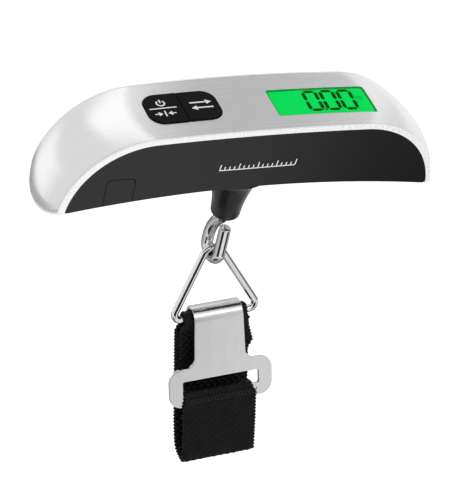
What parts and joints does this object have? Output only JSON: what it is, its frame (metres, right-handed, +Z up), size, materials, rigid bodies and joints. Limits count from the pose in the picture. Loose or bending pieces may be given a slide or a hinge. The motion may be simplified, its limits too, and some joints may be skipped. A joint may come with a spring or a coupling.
{
  "type": "digital luggage scale",
  "caption": "Handheld hanging scale: arched grip with display and keys, neck with swivel hook, triangular ring and webbing loop closed by a hook-on steel buckle plate.",
  "frame": {"origin": "middle of the handle's top face, where the palm rests", "axes": "+X along the handle towards the display, -Y towards the front face, +Z up when the scale hangs from the hand"},
  "size_m": [0.163, 0.0512, 0.1564],
  "materials": {
    "brushed_cover": "brushed along the handle, satin",
    "silver_case": "silver paint, semi-gloss",
    "black_case": "fine satin black",
    "clear_window": "clear, polished",
    "lcd": "green backlit display",
    "backlight": "milky light guide",
    "white_plastic": "satin",
    "rubber_grey": "matte",
    "board_green": "solder mask, semi-gloss",
    "zinc": "zinc plated, satin",
    "epoxy": "glossy",
    "switch_metal": "satin",
    "rubber_black": "matte",
    "key_black": "matte",
    "aluminium_beam": "machined",
    "gauge_film": "polyimide film",
    "wire_pvc": "smooth",
    "cell_steel": "smooth",
    "contact_plate": "nickel plated",
    "chrome_steel": "polished chrome",
    "webbing": "woven nylon, matte",
    "buckle_steel": "satin plated, polished curl"
  },
  "bodies": {
    "scale": {"top_plate": "brushed_cover", "upper_case": "silver_case", "lower_case": "black_case", "display_window": "clear_window", "lcd_glass": "lcd", "backlight_panel": "backlight", "lcd_frame": "white_plastic", "zebra_strips": "rubber_grey", "circuit_board": "board_green", "board_screws": "zinc", "controller_chip": "epoxy", "tactile_switches": "switch_metal", "key_mat": "rubber_black", "load_cell": "aluminium_beam", "load_cell_bracket": "zinc", "load_cell_screws": "zinc", "strain_gauges": "gauge_film", "sensor_wires": "wire_pvc", "case_screws": "zinc", "coin_cell": "cell_steel", "battery_contact_positive": "contact_plate", "battery_contact_negative": "contact_plate", "hook_washer": "zinc"},
    "battery_door": {"battery_door": "black_case"},
    "power_key": {"power_key": "key_black"},
    "unit_key": {"unit_key": "key_black"},
    "hook": {"hook": "chrome_steel", "hook_nut": "zinc"},
    "ring": {"triangle_ring": "chrome_steel"},
    "strap": {"strap_webbing": "webbing"},
    "buckle": {"buckle_plate": "buckle_steel", "strap_buckle_end": "webbing"}
  },
  "joints": [
    {"name": "power_key_press", "type": "slide", "parent": "scale", "child": "power_key", "axis": [0, 0, -1], "range_m": [0, 0.0006], "stiffness_N_per_m": 600},
    {"name": "unit_key_press", "type": "slide", "parent": "scale", "child": "unit_key", "axis": [0, 0, -1], "range_m": [0, 0.0006], "stiffness_N_per_m": 600},
    {"name": "battery_door_pull", "type": "slide", "parent": "scale", "child": "battery_door", "axis": [0, 0, -1], "range_m": [0, 0.012]},
    {"name": "hook_swivel", "type": "hinge", "parent": "scale", "child": "hook", "pos_m": [0, 0, -0.06], "axis": [0, 0, 1], "continuous": true},
    {"name": "ring_swing", "type": "hinge", "parent": "hook", "child": "ring", "pos_m": [-0.00034, 0.00202, -0.07285], "axis": [0.9863, 0.165, 0], "range_deg": [-60, 90]},
    {"name": "strap_swing", "type": "hinge", "parent": "ring", "child": "strap", "pos_m": [0.00211, -0.00797, -0.09975], "axis": [0.9959, 0, 0.0906], "range_deg": [-40, 40]},
    {"name": "buckle_lift", "type": "slide", "parent": "strap", "child": "buckle", "axis": [-0.085, 0.3469, 0.934], "range_m": [0, 0.005]}
  ]
}
